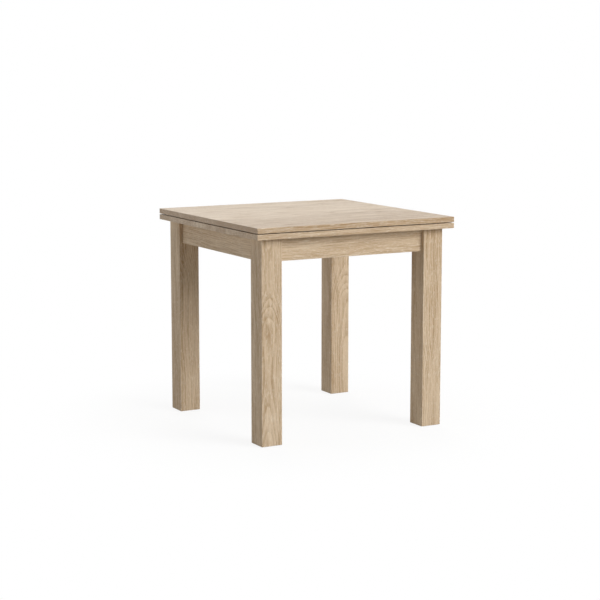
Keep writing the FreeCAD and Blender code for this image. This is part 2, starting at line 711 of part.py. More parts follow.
# Feet and felt.
foot = turned("foot_glide", (
    ("0", "0"),
    ("sizes.foot_radius - sizes.foot_bevel", "0"),
    ("sizes.foot_radius", "sizes.foot_bevel"),
    ("sizes.foot_radius", "sizes.foot_height"),
    ("sizes.nail_radius", "sizes.foot_height"),
    ("sizes.nail_radius", "sizes.foot_height + sizes.nail_length - sizes.nail_radius"),
    ("0", "sizes.foot_height + sizes.nail_length"),
), False)
group("foot_glides", foot, [
    (
        f"{x_sign} * (places.leg_inner_x + sizes.leg_side / 2)",
        f"{y_sign} * (places.leg_inner_y + sizes.leg_side / 2)",
        "0",
        UP,
        0,
    )
    for _, x_sign, y_sign, _ in CORNERS
])
strip = new_body("glide_strip", False)
strip_outline = new_sketch(strip, "XY_Plane")
rectangle(
    strip_outline,
    "-sizes.strip_length / 2",
    "-sizes.strip_width / 2",
    "sizes.strip_length / 2",
    "sizes.strip_width / 2",
)
pad(strip, strip_outline, "sizes.strip_thickness")
strip_x = "(places.apron_outer_x - sizes.apron_thickness / 2)"
strip_y = "(places.apron_outer_y - sizes.apron_thickness / 2)"
group("glide_strips", strip, [
    (f"{side} * sizes.strip_offset", f"{edge} * {strip_y}", "places.frame_top", UP, 0)
    for side in (1, -1)
    for edge in (1, -1)
] + [
    (f"{edge} * {strip_x}", f"{side} * sizes.strip_offset", "places.frame_top", UP, 90)
    for side in (1, -1)
    for edge in (1, -1)
])

# Leg bolts and block screws. Each lies along the local upright axis and is laid over to its direction.
bolt_start = "(places.leg_flat_depth + sizes.bolt_bite)"
bolt_end = "(places.block_inner - sizes.bolt_tail)"
bolt = turned("hanger_bolt", (
    ("0", bolt_end),
    ("sizes.bolt_radius - sizes.bolt_bevel", bolt_end),
    ("sizes.bolt_radius", f"{bolt_end} + sizes.bolt_bevel"),
    ("sizes.bolt_radius", f"{bolt_start} - 2 * sizes.bolt_radius"),
    ("0", bolt_start),
), False)
washer_face = "(places.block_inner - sizes.washer_thickness)"
washer = turned("hanger_washer", ring(
    "sizes.bolt_radius + sizes.bolt_slack / 2",
    "sizes.washer_radius",
    washer_face,
    "places.block_inner",
), False)
nut = make_nut(
    "hanger_nut",
    "sizes.nut_across",
    "sizes.nut_height",
    "sizes.bolt_radius + sizes.fit_clearance",
    None,
    False,
)


def corner_spots(shift="0"):
    spots = []
    for _, x_sign, y_sign, _ in CORNERS:
        outwards = FreeCAD.Vector(-y_sign, x_sign, 0)
        for height in bolt_heights():
            x = f"{x_sign} * (places.leg_inner_x + {shift} / sqrt(2))"
            y = f"{y_sign} * (places.leg_inner_y + {shift} / sqrt(2))"
            spots.append((x, y, height, outwards, 90))
    return spots


group("hanger_bolts", bolt, corner_spots())
group("hanger_washers", washer, corner_spots())
group("hanger_nuts", nut, corner_spots(washer_face))

block_screw = turned("block_screw", (
    ("0", "sizes.block_screw_length"),
    ("sizes.block_screw_radius", "sizes.block_screw_length - sizes.block_screw_radius"),
    ("sizes.block_screw_radius", "0"),
    ("sizes.block_screw_head", "0"),
    ("sizes.block_screw_head", "-sizes.block_screw_rise / 2"),
    ("sizes.block_screw_head / 2", "-sizes.block_screw_rise"),
    ("0", "-sizes.block_screw_rise"),
), False)
screw_spots = []
for _, x_sign, y_sign, _ in CORNERS:
    seat_x = f"{x_sign} * (places.leg_inner_x + places.block_screw_seat)"
    seat_y = f"{y_sign} * (places.leg_inner_y + places.block_screw_seat)"
    line_x = f"{x_sign} * (places.leg_inner_x + places.block_screw_line)"
    line_y = f"{y_sign} * (places.leg_inner_y + places.block_screw_line)"
    for height in screw_heights():
        screw_spots.append((seat_x, line_y, height, ALONG, 90 * x_sign))
        screw_spots.append((line_x, seat_y, height, ACROSS, -90 * y_sign))
group("corner_block_screws", block_screw, screw_spots)

# Pivot: bush, thrust disc and stop pin on the rail, plate and stud on the leaf, held by washer, spring and nut.
pivot_pieces = [
    turned("pivot_bush", (
        ("places.stud_hole", "places.bush_bottom"),
        ("sizes.bush_flange_radius", "places.bush_bottom"),
        ("sizes.bush_flange_radius", "places.rail_bottom"),
        ("places.stud_hole + sizes.bush_wall", "places.rail_bottom"),
        ("places.stud_hole + sizes.bush_wall", "places.rail_top"),
        ("places.stud_hole", "places.rail_top"),
    )),
    turned("thrust_disc", ring(
        "places.stud_hole + sizes.run_clearance",
        "sizes.disc_radius",
        "places.rail_top",
        "places.plate_bottom - sizes.run_clearance",
    )),
    turned("pivot_stud", (
        ("0", "places.lock_nut_bottom - sizes.stud_tail"),
        ("sizes.stud_radius - sizes.stud_bevel", "places.lock_nut_bottom - sizes.stud_tail"),
        ("sizes.stud_radius", "places.lock_nut_bottom - sizes.stud_tail + sizes.stud_bevel"),
        ("sizes.stud_radius", "places.plate_bottom"),
        ("sizes.spigot_radius", "places.plate_bottom"),
        ("sizes.spigot_radius", "places.lower_bottom"),
        ("0", "places.lower_bottom"),
    )),
    turned("pivot_washer", ring(
        "places.stud_hole + sizes.run_clearance",
        "sizes.pivot_washer_radius",
        "places.spring_top",
        "places.pivot_washer_top",
    )),
    turned("disc_spring", (
        ("places.stud_hole + sizes.run_clearance", "places.lock_nut_top"),
        ("sizes.spring_radius", "places.lock_nut_top + sizes.spring_rise"),
        ("sizes.spring_radius", "places.spring_top"),
        ("places.stud_hole + sizes.run_clearance", "places.spring_top - sizes.spring_rise"),
    )),
]
for piece in pivot_pieces:
    place(piece, "places.pivot", "-places.pivot")
lock_nut = make_nut(
    "lock_nut",
    "sizes.lock_nut_across",
    "sizes.lock_nut_height",
    "sizes.stud_radius + sizes.fit_clearance",
    "sizes.lock_collar_height",
)
place(lock_nut, "places.pivot", "-places.pivot", "places.lock_nut_top")
stop_pin = turned("stop_pin", (
    ("0", "places.rail_top - sizes.pin_seat"),
    ("sizes.pin_radius - sizes.pin_bevel", "places.rail_top - sizes.pin_seat"),
    ("sizes.pin_radius", "places.rail_top - sizes.pin_seat + sizes.pin_bevel"),
    ("sizes.pin_radius", "places.pin_top - sizes.pin_bevel"),
    ("sizes.pin_radius - sizes.pin_bevel", "places.pin_top"),
    ("0", "places.pin_top"),
))
place(stop_pin, "places.pivot", "sizes.slot_radius - places.pivot")
make_swivel_plate()
plate_screw = countersunk_screw(
    "plate_screw",
    "sizes.plate_screw_radius",
    "sizes.plate_screw_head",
    "sizes.plate_screw_length",
)
group("swivel_plate_screws", plate_screw, [
    (
        f"places.pivot + sizes.plate_screw_circle * cos({angle})",
        f"sizes.plate_screw_circle * sin({angle}) - places.pivot",
        "places.plate_bottom",
        ACROSS,
        HALF_TURN,
    )
    for angle in PLATE_SCREW_ANGLES
])

# Leaves and hinges. The upper leaf is the lower one turned over about the hinge-to-hinge direction.
hinge_pin = turned("hinge_pin", ring(
    "0",
    "sizes.hinge_pin_radius",
    "sizes.hinge_pin_recess - sizes.hinge_width / 2",
    "sizes.hinge_width / 2 - sizes.hinge_pin_recess",
), False)
hinge_screw = countersunk_screw(
    "hinge_screw",
    "sizes.hinge_screw_radius",
    "sizes.hinge_screw_head",
    "sizes.hinge_screw_length",
)
for level, height, axis_angle in (
    ("lower", "places.lower_top", 0),
    ("upper", "places.upper_bottom", HALF_TURN),
):
    make_leaf(f"{level}_leaf", height, axis_angle, level == "lower")
    for name, side in HINGES:
        make_hinge_plate(f"{level}_hinge_plate_{name}", side, height, axis_angle)
    make_hinge_hardware(level, height, axis_angle, hinge_pin, hinge_screw)
for name, side in HINGES:
    make_link(f"hinge_link_{name}", side)
bumper = turned("leaf_bumper", (
    ("0", "0"),
    ("sizes.bumper_radius", "0"),
    ("sizes.bumper_radius", "sizes.bumper_bevel"),
    ("sizes.bumper_radius - sizes.bumper_bevel", "sizes.leaf_gap - sizes.bumper_clearance"),
    ("0", "sizes.leaf_gap - sizes.bumper_clearance"),
), False)
group("leaf_bumpers", bumper, [
    (
        f"{x_sign} * (sizes.top_length / 2 - sizes.bumper_inset)",
        f"{y_sign} * (sizes.top_width / 2 - sizes.bumper_inset)",
        "places.upper_bottom",
        ACROSS,
        HALF_TURN,
    )
    for _, x_sign, y_sign, _ in CORNERS
])

write_nodes()
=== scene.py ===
# Small square oak table whose doubled top turns and unfolds: finishes, fasteners, felt, light and camera.
import math

import bmesh
import bpy
import numpy as np
from mathutils import Euler, Matrix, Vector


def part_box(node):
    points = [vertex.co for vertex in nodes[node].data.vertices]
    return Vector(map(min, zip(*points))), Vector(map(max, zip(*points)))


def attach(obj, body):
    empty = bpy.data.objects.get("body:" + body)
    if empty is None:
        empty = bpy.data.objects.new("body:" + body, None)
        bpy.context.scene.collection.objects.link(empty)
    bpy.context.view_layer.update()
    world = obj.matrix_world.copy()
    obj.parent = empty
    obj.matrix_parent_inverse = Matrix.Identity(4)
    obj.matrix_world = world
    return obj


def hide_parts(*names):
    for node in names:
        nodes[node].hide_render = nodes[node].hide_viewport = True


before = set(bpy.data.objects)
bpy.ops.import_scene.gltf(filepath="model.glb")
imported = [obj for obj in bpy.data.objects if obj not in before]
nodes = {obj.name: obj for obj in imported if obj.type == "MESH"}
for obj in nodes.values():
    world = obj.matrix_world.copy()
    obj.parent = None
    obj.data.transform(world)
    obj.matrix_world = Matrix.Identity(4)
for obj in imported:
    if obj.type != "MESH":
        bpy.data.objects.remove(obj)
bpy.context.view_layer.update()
millimetre = 0.001
print("loaded", len(nodes), "pieces of the table")


class Wire:
    # A node's output that can stand in a formula: each operator adds one Math node.
    def __init__(self, tree, socket):
        self.tree = tree
        self.socket = socket

    def math(self, operation, *terms):
        node = self.tree.nodes.new("ShaderNodeMath")
        node.operation = operation
        for entry, term in zip(node.inputs, terms):
            feed(self.tree, entry, term)
        return Wire(self.tree, node.outputs[0])

    def __add__(self, other):
        return self.math("ADD", self, other)

    def __radd__(self, other):
        return self.math("ADD", other, self)

    def __sub__(self, other):
        return self.math("SUBTRACT", self, other)

    def __rsub__(self, other):
        return self.math("SUBTRACT", other, self)

    def __mul__(self, other):
        return self.math("MULTIPLY", self, other)

    def __rmul__(self, other):
        return self.math("MULTIPLY", other, self)

    def __truediv__(self, other):
        return self.math("DIVIDE", self, other)

    def __pow__(self, other):
        return self.math("POWER", self, other)

    def __abs__(self):
        return self.math("ABSOLUTE", self)

    def fraction(self):
        return self.math("FRACT", self)

    def whole(self):
        return self.math("FLOOR", self)

    def larger(self, other):
        return self.math("MAXIMUM", self, other)

    def angle(self, other):
        return self.math("ARCTAN2", self, other)


def feed(tree, entry, value):
    if isinstance(value, Wire):
        tree.links.new(value.socket, entry)
    else:
        entry.default_value = value


def tint(code):
    # "#rrggbb" as seen on a screen, turned into the linear colour that a shader takes
    seen = np.array([int(code[i:i + 2], 16) for i in (1, 3, 5)]) / 255
    linear = np.where(seen <= 0.04045, seen / 12.92, ((seen + 0.055) / 1.055) ** 2.4)
    return (*linear.tolist(), 1.0)


class Nodes:
    # A node tree. add() makes any node: its settings first, then the values or wires of its sockets.
    def __init__(self, tree):
        self.tree = tree

    def add(self, kind, settings, sockets, *outs):
        node = self.tree.nodes.new("ShaderNode" + kind)
        for key, value in settings.items():
            setattr(node, key, value)
        entries = {entry.identifier: entry for entry in node.inputs}
        for key, value in sockets.items():
            feed(self.tree, entries[key], value)
        wires = [Wire(self.tree, out) for name in outs for out in node.outputs if out.identifier == name]
        return wires[0] if len(wires) == 1 else wires

    def split(self, vector):
        return self.add("SeparateXYZ", {}, {"Vector": vector}, "X", "Y", "Z")

    def join(self, x, y, z):
        return self.add("CombineXYZ", {}, {"X": x, "Y": y, "Z": z}, "Vector")

    def rayIs(self, *kinds):
        # 1 for rays of any of these kinds
        found, *others = [self.add("LightPath", {}, {}, f"Is {kind} Ray") for kind in kinds]
        for other in others:
            found = found.larger(other)
        return found


class Finish(Nodes):
    # One material, whose patterns lie in the object's own coordinates.
    def __init__(self, name):
        self.material = bpy.data.materials.new(name)
        self.material.use_nodes = True
        super().__init__(self.material.node_tree)
        self.shader = self.tree.nodes["Principled BSDF"]
        self.coords, self.normals = self.add("TexCoord", {}, {}, "Object", "Normal")

    def combine(self, operation, first, second, out):
        # first and second are vectors
        sockets = {"Vector": first, "Vector_001": second}
        return self.add("VectorMath", {"operation": operation}, sockets, out)

    def noise(self, where, scale, detail=2.0, rough=0.5):
        # scale: waves to a metre along each axis, or one number for all three
        stretch = scale if isinstance(scale, tuple) else (scale, scale, scale)
        scaled = self.combine("MULTIPLY", where, stretch, "Vector")
        sockets = {"Vector": scaled, "Scale": 1.0, "Detail": detail, "Roughness": rough}
        return self.add("TexNoise", {}, sockets, "Fac")

    def step(self, value, low, high):
        # 0 below low, 1 above high, an easy slope between
        sockets = {"Value": value, "From Min": low, "From Max": high}
        return self.add("MapRange", {"interpolation_type": "SMOOTHSTEP"}, sockets, "Result")

    def mix(self, first, second, amount):
        sockets = {"Factor_Float": amount, "A_Color": first, "B_Color": second}
        return self.add("Mix", {"data_type": "RGBA"}, sockets, "Result_Color")

    def mixShaders(self, first, second, amount):
        sockets = {"Fac": amount, "Shader": first, "Shader_001": second}
        return self.add("MixShader", {}, sockets, "Shader")

    def facing(self, axis):
        # 1 on the faces that look along an axis, either way
        return self.step(abs(self.combine("DOT_PRODUCT", self.normals, axis, "Value")), 0.6, 0.9)

    def edges(self, radius):
        # near 0 on flats, rising where the normal rounded over the radius leaves the face's own
        rounded = self.add("Bevel", {"samples": 6}, {"Radius": radius}, "Normal")
        own = self.add("NewGeometry", {}, {}, "Normal")
        return 1 - self.combine("DOT_PRODUCT", rounded, own, "Value")

    def fill(self, sockets):
        for key, value in sockets.items():
            feed(self.tree, self.shader.inputs[key], value)

    def close(self, colour, roughness, height, depth, fixed):
        # links colour, roughness and relief; depth is the relief's full height in metres
        bump = self.add("Bump", {}, {"Height": height, "Distance": depth, "Strength": 1.0}, "Normal")
        self.fill({"Base Color": colour, "Roughness": roughness, "Normal": bump, **fixed})
        return self.material


def dress(name, material):
    nodes[name].data.materials.clear()
    nodes[name].data.materials.append(material)


def middle(name):
    low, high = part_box(name)
    return (low + high) / 2


# Oak. A board is a slice through a tree: rings round a heart that wanders along the trunk,
# pores along the grain, rays out from the heart. x runs with the grain, y across, z through the board.
washedOak = {
    "pale": "#dcc7ab",
    "dark": "#a3845f",
    "pore": "#86694a",
    "lime": "#efe6d6",
    "ring": 4.2 * millimetre,
    "wander": 30 * millimetre,
    "ripple": 3.0 * millimetre,
    "uneven": 2.2,              # how far wide and narrow years push the rings, counted in rings
    "base": 0.25,               # this and the next eight add up to the shade between pale and dark
    "rings": 0.42,
    "fibres": 0.45,
    "streaks": 1.1,
    "clouds": 0.75,
    "tone": 0.35,
    "edge": 0.0,
    "end": 0.22,
    "drift": 0.0,               # shade gained along a metre of board
    "open": 0.5,                # strength of the open pores, the rays and the lime
    "rays": 0.4,
    "limed": 0.7,
    "edgeWidth": 2.4 * millimetre,   # width and strength of the paler arrises, partly rubbed wear and partly a painted highlight
    "rubAndHighlight": 0.6,
    "matt": 0.33,
    "sheen": 0.5,
    "relief": 0.25 * millimetre,
}
# the upper leaf darkens steadily towards its +x end
upperOak = {**washedOak, "drift": 0.16, "edge": 0.11, "end": 0.48}
lowerOak = {**washedOak, "edge": 0.11}
frameOak = {
    **washedOak,
    "base": 0.29,
    "rings": 0.32,
    # wider, stronger pale arrises on the frame: more rubbed wear and more painted highlight on the legs'
    # eased edges
    "edgeWidth": 4.0 * millimetre,
    "rubAndHighlight": 0.9,
    "matt": 0.50,
    "sheen": 0.25,
}
plainOak = {
    **washedOak,
    "pale": "#d2b58c",
    "dark": "#a37e50",
    "pore": "#80643f",
    "lime": "#dcc7a2",
    "matt": 0.66,
}
# waves to a metre: along the grain, across it, through the board
grainScale = {
    "bend": (2.4, 3.5, 3.5),
    "ripple": (11, 30, 30),
    "fibre": (9, 330, 330),
    "streak": (7, 105, 105),
    "cloud": (1.6, 16, 16),
    "vessel": (70, 2300, 2300),
    "lime": (45, 400, 400),
    "year": (70, 1, 1),         # the first is out from the heart
    "ray": (75, 1500, 60),      # along the grain, round the heart, out from it
}
leafStaves = {"width": 80 * millimetre, "shift": 0.0, "scatter": 40 * millimetre}
oneBoard = {"width": 1.0, "shift": 0.5, "scatter": 0.0}
archSpread = 0.08               # half the length over which the heart line shifts at an arch
trunkLength = 9                 # the staves come from anywhere along this many metres of trunk
luckStride = 1.37               # from one stave to the next in the row of chances
rayTurn = 0.07                  # metres across the rays for a radian round the heart


def oakFinish(name, look, turn, boards, heart, arches, seed):
    wood = Finish(name)
    sockets = {"Vector": wood.coords, "Location": middle(name), "Rotation": turn}
    x, y, z = wood.split(wood.add("Mapping", {"vector_type": "TEXTURE"}, sockets, "Vector"))

    # every stave comes from another tree: its own heart, stretch of trunk and tone
    board = (y / boards["width"] + boards["shift"]).whole()
    luck = wood.add("TexWhiteNoise", {"noise_dimensions": "1D"}, {"W": board * luckStride + seed}, "Color")
    luckA, luckB, luckC = wood.split(luck)
    middleLine = (board + 0.5 - boards["shift"]) * boards["width"]
    across = y - middleLine - heart[0] - (luckA - 0.5) * boards["scatter"]
    through = z - heart[1] - (luckB - 0.5) * boards["scatter"]
    for height, rise in arches:
        through = through - rise * wood.step(x, height - archSpread, height + archSpread)
    along = x + luckC * trunkLength + seed
    trunk = wood.join(along, across, through)

    def pattern(kind, detail, rough=0.5):
        return wood.noise(trunk, grainScale[kind], detail, rough)

    # rings: distance from the heart, bent slowly along the trunk and rippled a little;
    # early wood is dark from the ring's start and fades as the year goes on
    bend = pattern("bend", 1.0) - 0.5
    ripple = pattern("ripple", 2.0) - 0.5
    radius = (across * across + through * through) ** 0.5
    radius = radius + bend * look["wander"] + ripple * look["ripple"]
    years = wood.noise(wood.join(radius, seed, 0.0), grainScale["year"], 2.0)
    part = (radius / look["ring"] + years * look["uneven"]).fraction()
    early = wood.step(part, 0.0, 0.12) * (1 - part) ** 1.6

    # fibres, streaks, open pores, patches of pores filled with lime, and rays
    fibre = pattern("fibre", 3.0, 0.6)
    streak = pattern("streak", 5.0, 0.65)
    cloud = pattern("cloud", 2.0)
    vessels = pattern("vessel", 1.0)
    pores = wood.step(vessels, 0.57, 0.68) * (0.3 + 0.7 * early)
    limed = wood.step(pattern("lime", 2.0), 0.53, 0.66) * wood.step(vessels, 0.44, 0.60)
    fan = wood.join(along, across.angle(through) * rayTurn, radius)
    rays = wood.step(wood.noise(fan, grainScale["ray"], 1.0), 0.63, 0.74)

    # end grain drinks more of the finish, so it is darker; a leaf's long edges are a little darker too
    endGrain, longEdge = (wood.facing(axis) for axis in turn.to_matrix().col[:2])
    shade = look["base"] + look["rings"] * early + look["fibres"] * (fibre - 0.5)
    shade = shade + look["streaks"] * (streak - 0.5) + look["clouds"] * (cloud - 0.5)
    shade = shade + look["drift"] * x + look["tone"] * (luckA - 0.5)
    shade = shade + look["end"] * endGrain + look["edge"] * longEdge
    colour = wood.mix(tint(look["pale"]), tint(look["dark"]), wood.step(shade, 0.0, 0.95))
    colour = wood.mix(colour, tint(look["pore"]), pores * look["open"])
    colour = wood.mix(colour, tint(look["lime"]), rays * look["rays"])
    colour = wood.mix(colour, tint(look["lime"]), limed * look["limed"])

    # arrises paler and smoother; pores and early wood lie lower, and lime fills its pores
    # the paler arrises are partly rubbed wear and partly a painted highlight where the eased edges catch
    # the light
    paleEdges = wood.step(wood.edges(look["edgeWidth"]), 0.004, 0.14) * (0.4 + 0.6 * cloud)
    colour = wood.mix(colour, tint(look["lime"]), paleEdges * look["rubAndHighlight"])
    roughness = look["matt"] + 0.10 * early + 0.10 * (fibre - 0.5) - 0.10 * paleEdges
    height = 0.6 - 0.5 * pores - 0.25 * early + 0.25 * (fibre - 0.5) + 0.3 * limed * pores
    return wood.close(colour, roughness, height, look["relief"], {"Specular IOR Level": look["sheen"]})


# each piece's look, the way its grain runs, its boards, where their heart lies across and through the board
# in metres, its arches as (place along the board, shift of the heart), and the seed of its tree
alongX = Euler((0, 0, 0))
alongY = Euler((0, 0, math.pi / 2))
alongZ = Matrix(((0, 1, 0), (0, 0, 1), (1, 0, 0))).to_euler()
slantUp = Euler((0, 0, math.pi / 4))
slantDown = Euler((0, 0, -math.pi / 4))
straight = ()
oakPieces = {
    "upper_leaf": (upperOak, alongX, leafStaves, (0.0, -0.055), straight, 99.2),
    "lower_leaf": (lowerOak, alongX, leafStaves, (0.0, 0.050), straight, 2.3),
    "apron_front": (frameOak, alongX, oneBoard, (0.075, 0.062), ((0.05, 0.012),), 8.7),
    "apron_back": (frameOak, alongX, oneBoard, (-0.080, -0.060), straight, 5.2),
    "apron_right": (frameOak, alongY, oneBoard, (0.075, 0.070), straight, 12.9),
    "apron_left": (frameOak, alongY, oneBoard, (-0.074, -0.065), straight, 21.3),
    "leg_front_left": (frameOak, alongZ, oneBoard, (-0.014, 0.020), ((0.115, 0.014), (-0.33, 0.006)), 14.9),
    "leg_front_right": (frameOak, alongZ, oneBoard, (-0.090, 0.100), ((-0.10, 0.010),), 18.1),
    "leg_back_left": (frameOak, alongZ, oneBoard, (-0.080, 0.110), ((0.20, 0.018),), 4.4),
    "leg_back_right": (frameOak, alongZ, oneBoard, (0.030, 0.060), ((0.09, 0.012),), 15.9),
    "pivot_rail": (plainOak, alongY, oneBoard, (0.015, -0.070), straight, 4.4),
    "cross_rail": (plainOak, alongY, oneBoard, (-0.020, -0.065), straight, 7.6),
    "corner_block_front_left": (plainOak, slantDown, oneBoard, (0.0, 0.050), straight, 1.2),
    "corner_block_front_right": (plainOak, slantUp, oneBoard, (0.0, 0.050), straight, 2.3),
    "corner_block_back_left": (plainOak, slantUp, oneBoard, (0.0, 0.050), straight, 3.4),
    "corner_block_back_right": (plainOak, slantDown, oneBoard, (0.0, 0.050), straight, 4.5),
}
for pieceName, values in oakPieces.items():
    dress(pieceName, oakFinish(pieceName, *values))
print("oak on", len(oakPieces), "boards")


# Metals. Fine lines of the polishing belt, dull patches, bright rubbed edges.
satinBrass = {
    "bright": "#d0b070",
    "dull": "#8f7440",
    "edge": "#e2d09c",
    "belt": (40, 2600, 900),
    "patch": 90,
    "edgeWidth": 0.5 * millimetre,
    "matt": 0.32,
    "relief": 0.03 * millimetre,
}
zincPlate = {
    **satinBrass,
    "bright": "#cfd2d4",
    "dull": "#a2a7a6",
    "edge": "#e2e4e6",
    "belt": 300,
    "matt": 0.34,
}


def metalFinish(name, look):
    metal = Finish(name)
    lines = metal.noise(metal.coords, look["belt"], 3.0, 0.6)
    grime = metal.step(metal.noise(metal.coords, look["patch"], 4.0, 0.6), 0.40, 0.75)
    paleEdges = metal.step(metal.edges(look["edgeWidth"]), 0.02, 0.25)
    colour = metal.mix(tint(look["bright"]), tint(look["dull"]), grime * 0.45 + 1.2 * (lines - 0.35))
    colour = metal.mix(colour, tint(look["edge"]), paleEdges * 0.7)
    roughness = look["matt"] + 0.14 * grime + 0.20 * (lines - 0.5) - 0.08 * paleEdges
    return metal.close(colour, roughness, lines, look["relief"], {"Metallic": 1.0})


# Black coated steel: grainy coat, bare metal on the rubbed rims.
blackCoat = {
    "coat": "#26262a",
    "dust": "#3b3a3a",
    "bare": "#9d9c99",
    "grain": 1500,
    "dusting": 45,
    "chipping": 260,
    "edgeWidth": 0.6 * millimetre,
    "matt": 0.48,
    "relief": 0.05 * millimetre,
}


def coatedSteel(name, look):
    steel = Finish(name)
    grain = steel.noise(steel.coords, look["grain"], 2.0)
    dust = steel.step(steel.noise(steel.coords, look["dusting"], 3.0, 0.6), 0.45, 0.75)
    worn = steel.step(steel.noise(steel.coords, look["chipping"], 2.0), 0.42, 0.60)
    worn = worn * steel.step(steel.edges(look["edgeWidth"]), 0.04, 0.25)
    colour = steel.mix(tint(look["coat"]), tint(look["dust"]), dust * 0.6 + 0.2 * grain)
    colour = steel.mix(colour, tint(look["bare"]), worn * 0.8)
    roughness = look["matt"] + 0.16 * (grain - 0.5) + 0.12 * dust - 0.12 * worn
    return steel.close(colour, roughness, grain, look["relief"], {"Metallic": worn * 0.9})


# Nylon: milky, faint mould texture, scuffed where it rubs.
milkyNylon = {
    "body": "#ddd8cc",
    "deep": "#c6bfb0",
    "scuff": "#efece4",
    "cloud": 90,
    "mould": 2200,
    "scratch": (60, 700, 60),
    "matt": 0.42,
    "relief": 0.03 * millimetre,
}


def nylonFinish(name, look):
    nylon = Finish(name)
    cloud = nylon.noise(nylon.coords, look["cloud"], 3.0)
    mould = nylon.noise(nylon.coords, look["mould"], 1.0)
    scuff = nylon.step(nylon.noise(nylon.coords, look["scratch"], 2.0), 0.58, 0.72)
    colour = nylon.mix(tint(look["body"]), tint(look["deep"]), cloud)
    colour = nylon.mix(colour, tint(look["scuff"]), scuff * 0.5)
    roughness = look["matt"] + 0.12 * (mould - 0.5) + 0.15 * scuff
    return nylon.close(colour, roughness, mould + 0.5 * scuff, look["relief"], {"IOR": 1.53})


# Clear silicone: faint haze and specks of dust.
clearSilicone = {
    "clear": "#f1f2ee",
    "haze": "#d8d9d2",
    "cloud": 400,
    "dust": 2600,
    "matt": 0.22,
    "relief": 0.02 * millimetre,
}


def siliconeFinish(name, look):
    clear = Finish(name)
    haze = clear.noise(clear.coords, look["cloud"], 2.0)
    specks = clear.step(clear.noise(clear.coords, look["dust"], 1.0), 0.66, 0.75)
    colour = clear.mix(tint(look["clear"]), tint(look["haze"]), haze * 0.7 + 0.3 * specks)
    roughness = look["matt"] + 0.25 * haze + 0.3 * specks
    return clear.close(colour, roughness, specks, look["relief"], {"Transmission Weight": 0.8, "IOR": 1.41})


# Wool felt: matted fibres lying every way, lighter nap.
brownFelt = {
    "wool": "#5b4a3b",
    "dark": "#3d3128",
    "nap": "#7d6a58",
    "tangle": 1400,
    "hair": (350, 3000, 1500),
    "tuft": 150,
    "matt": 0.86,
    "relief": 0.5 * millimetre,
}


def feltFinish(name, look):
    felt = Finish(name)
    tangle = felt.noise(felt.coords, look["tangle"], 4.0, 0.7)
    hairs = felt.noise(felt.coords, look["hair"], 2.0)
    tufts = felt.noise(felt.coords, look["tuft"], 2.0)
    colour = felt.mix(tint(look["dark"]), tint(look["wool"]), felt.step(tangle, 0.3, 0.6))
    colour = felt.mix(colour, tint(look["nap"]), felt.step(hairs, 0.52, 0.7) * 0.6 * tufts)
    roughness = look["matt"] + 0.12 * (tufts - 0.5)
    return felt.close(colour, roughness, tangle + 0.5 * hairs, look["relief"], {"Sheen Weight": 0.35})


brass = metalFinish("satin_brass", satinBrass)
zinc = metalFinish("zinc_plate", zincPlate)
black = coatedSteel("black_coat", blackCoat)
nylonMaterial = nylonFinish("milky_nylon", milkyNylon)
silicone = siliconeFinish("clear_silicone", clearSilicone)
feltMaterial = feltFinish("brown_felt", brownFelt)

hinges = ("front", "middle", "back")
hingeParts = ("lower_hinge_plate", "upper_hinge_plate", "hinge_link")
smallPieces = {
    brass: [
        *(f"{part}_{hinge}" for part in hingeParts for hinge in hinges),
        "lower_hinge_pins",
        "upper_hinge_pins",
    ],
    zinc: ["hanger_washers", "hanger_nuts", "pivot_washer", "disc_spring", "lock_nut"],
    black: ["swivel_plate", "stop_pin"],
    nylonMaterial: ["foot_glides", "pivot_bush", "thrust_disc"],
}
for material, names in smallPieces.items():
    for pieceName in names:
        dress(pieceName, material)
print("metal and nylon on", sum(map(len, smallPieces.values())), "pieces")


weldGap = 0.001 * millimetre
thinnest = 0.0001 * millimetre


def skin(name, points, material, body, node, crease=35):
    # points: copies x rows x columns x 3. Rows climb a profile, columns run round and close on the first;
    # rows that shrink to a point are welded into poles.
    copies, rows, columns = points.shape[:3]
    index = np.arange(copies * rows * columns).reshape(copies, rows, columns)
    right = np.roll(index, -1, axis=2)
    quads = np.stack((index[:, :-1], right[:, :-1], right[:, 1:], index[:, 1:]), axis=-1)
    mesh = bpy.data.meshes.new(name)
    mesh.from_pydata(points.reshape(-1, 3).tolist(), [], quads.reshape(-1, 4).tolist())
    welded = bmesh.new()
    welded.from_mesh(mesh)
    bmesh.ops.remove_doubles(welded, verts=welded.verts, dist=weldGap)
    bmesh.ops.dissolve_degenerate(welded, edges=welded.edges, dist=thinnest)
    welded.to_mesh(mesh)
    welded.free()
    mesh.polygons.foreach_set("use_smooth", np.ones(len(mesh.polygons), dtype=bool))
    mesh.set_sharp_from_angle(angle=math.radians(crease))
    mesh.materials.append(material)
    piece = bpy.data.objects.new(name, mesh)
    bpy.context.scene.collection.objects.link(piece)
    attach(piece, body)
    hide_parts(node)
    print(name, len(mesh.polygons), "faces")


def setOut(form, spots):
    # copies of a form, its own z turned to each spot's direction and its origin moved to the spot
    places, directions = (np.array(part, dtype=float) for part in zip(*spots))
    directions /= np.linalg.norm(directions, axis=1, keepdims=True)
    helper = np.where(np.abs(directions[:, 2:]) > 0.9, [[1.0, 0.0, 0.0]], [[0.0, 0.0, 1.0]])
    sideways = np.cross(helper, directions)
    sideways /= np.linalg.norm(sideways, axis=1, keepdims=True)
    upright = np.cross(directions, sideways)
    turns = np.stack((sideways, upright, directions), axis=-1)
    return np.einsum("nij,rcj->nrci", turns, form) + places[:, None, None, :]


def around(profile, columns):
    # radius, height and angle of every point of a profile carried round the z axis
    angle = np.linspace(0, 2 * np.pi, columns, endpoint=False)
    return np.broadcast_arrays(profile[:, :1], profile[:, 1:], angle[None, :])


def asPoints(radii, heights, angle):
    # (r cos t, r sin t, z), from millimetres to metres
    return np.stack((radii * np.cos(angle), radii * np.sin(angle), heights), axis=-1) * millimetre


